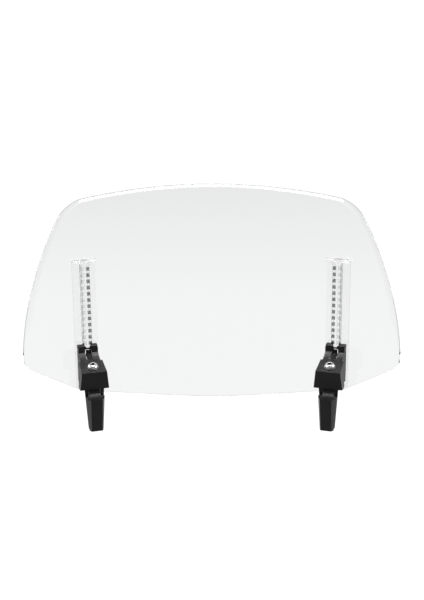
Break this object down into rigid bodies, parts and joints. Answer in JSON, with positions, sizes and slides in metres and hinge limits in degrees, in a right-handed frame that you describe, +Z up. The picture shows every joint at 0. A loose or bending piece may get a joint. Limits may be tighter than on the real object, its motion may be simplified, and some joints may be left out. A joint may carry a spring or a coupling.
{
  "type": "windshield screen",
  "caption": "Clear bowed deflector screen on toothed rails, height-adjustable in ratchet clamps whose screw-closed jaws grip a motorcycle windshield's top edge.",
  "frame": {"origin": "centre of the footprint at the height of the lower jaw tips, on the screen's mirror plane", "axes": "+X across the screen to the rider's right as seen in the picture, -Y towards the rider, +Z up along the straight rulings of the bowed sheet and the rails"},
  "size_m": [0.399, 0.0764, 0.2518],
  "materials": {
    "clear_acrylic": "clear colourless acrylic, polished on both faces",
    "clear_plastic": "clear moulded plastic, glossy",
    "black_plastic": "black moulded plastic with a fine satin grain",
    "black_rubber": "soft black rubber, matt",
    "bright_screw": "polished stainless button head",
    "screw_steel": "plain zinc-plated steel",
    "washer_steel": "dark plated steel"
  },
  "bodies": {
    "left_clamp": {"left_housing": "black_plastic", "left_slider": "black_plastic", "left_housing_screws": "screw_steel", "left_rear_pad": "black_rubber", "left_pivot_pin": "screw_steel", "left_washer": "washer_steel", "left_spring": "screw_steel"},
    "left_screw": {"left_clamp_screw": "bright_screw"},
    "left_nut": {"left_barrel_nut": "screw_steel"},
    "left_jaw": {"left_front_jaw": "black_plastic", "left_front_pad": "black_rubber"},
    "left_latch": {"left_tongue": "black_plastic"},
    "screen": {"screen_sheet": "clear_acrylic", "left_rail": "clear_plastic", "left_rail_stop": "clear_plastic", "right_rail": "clear_plastic", "right_rail_stop": "clear_plastic"},
    "right_clamp": {"right_housing": "black_plastic", "right_slider": "black_plastic", "right_housing_screws": "screw_steel", "right_rear_pad": "black_rubber", "right_pivot_pin": "screw_steel", "right_washer": "washer_steel", "right_spring": "screw_steel"},
    "right_screw": {"right_clamp_screw": "bright_screw"},
    "right_nut": {"right_barrel_nut": "screw_steel"},
    "right_jaw": {"right_front_jaw": "black_plastic", "right_front_pad": "black_rubber"},
    "right_latch": {"right_tongue": "black_plastic"}
  },
  "joints": [
    {"name": "screen_height", "type": "slide", "parent": "left_clamp", "child": "screen", "axis": [0, 0, 1], "range_m": [-0.0884, 0]},
    {"name": "right_clamp_height", "type": "slide", "parent": "screen", "child": "right_clamp", "axis": [0, 0, 1], "range_m": [0, 0.0884]},
    {"name": "left_screw_turn", "type": "hinge", "parent": "left_clamp", "child": "left_screw", "pos_m": [-0.12442, -0.02033, 0.06729], "axis": [0.0906, -0.2822, 0.9551], "range_deg": [0, 471]},
    {"name": "left_jaw_hinge", "type": "hinge", "parent": "left_clamp", "child": "left_jaw", "pos_m": [-0.12381, -0.02223, 0.052], "axis": [-0.9521, -0.3057, 0], "range_deg": [0, 11.7], "deforming": ["left_spring"]},
    {"name": "left_nut_swivel", "type": "hinge", "parent": "left_jaw", "child": "left_nut", "pos_m": [-0.12563, -0.01656, 0.05453], "axis": [-0.9521, -0.3057, 0], "range_deg": [-11.7, 0]},
    {"name": "left_latch_hinge", "type": "hinge", "parent": "left_clamp", "child": "left_latch", "pos_m": [-0.12919, -0.00547, 0.064], "axis": [0.9521, 0.3057, 0], "range_deg": [-3.2, 4], "stiffness_Nm_per_rad": 0.02},
    {"name": "right_screw_turn", "type": "hinge", "parent": "right_clamp", "child": "right_screw", "pos_m": [0.12442, -0.02033, 0.06729], "axis": [-0.0906, -0.2822, 0.9551], "range_deg": [0, 471]},
    {"name": "right_jaw_hinge", "type": "hinge", "parent": "right_clamp", "child": "right_jaw", "pos_m": [0.12381, -0.02223, 0.052], "axis": [-0.9521, 0.3057, 0], "range_deg": [0, 11.7], "deforming": ["right_spring"]},
    {"name": "right_nut_swivel", "type": "hinge", "parent": "right_jaw", "child": "right_nut", "pos_m": [0.12563, -0.01656, 0.05453], "axis": [-0.9521, 0.3057, 0], "range_deg": [-11.7, 0]},
    {"name": "right_latch_hinge", "type": "hinge", "parent": "right_clamp", "child": "right_latch", "pos_m": [0.12919, -0.00547, 0.064], "axis": [0.9521, -0.3057, 0], "range_deg": [-3.2, 4], "stiffness_Nm_per_rad": 0.02}
  ],
  "couplings": [
    {"joint": "right_clamp_height", "follows": "screen_height", "ratio": -1},
    {"joint": "left_jaw_hinge", "follows": "left_screw_turn", "ratio": 0.024629},
    {"joint": "left_nut_swivel", "follows": "left_screw_turn", "ratio": -0.024629},
    {"joint": "right_jaw_hinge", "follows": "right_screw_turn", "ratio": 0.024629},
    {"joint": "right_nut_swivel", "follows": "right_screw_turn", "ratio": -0.024629}
  ]
}
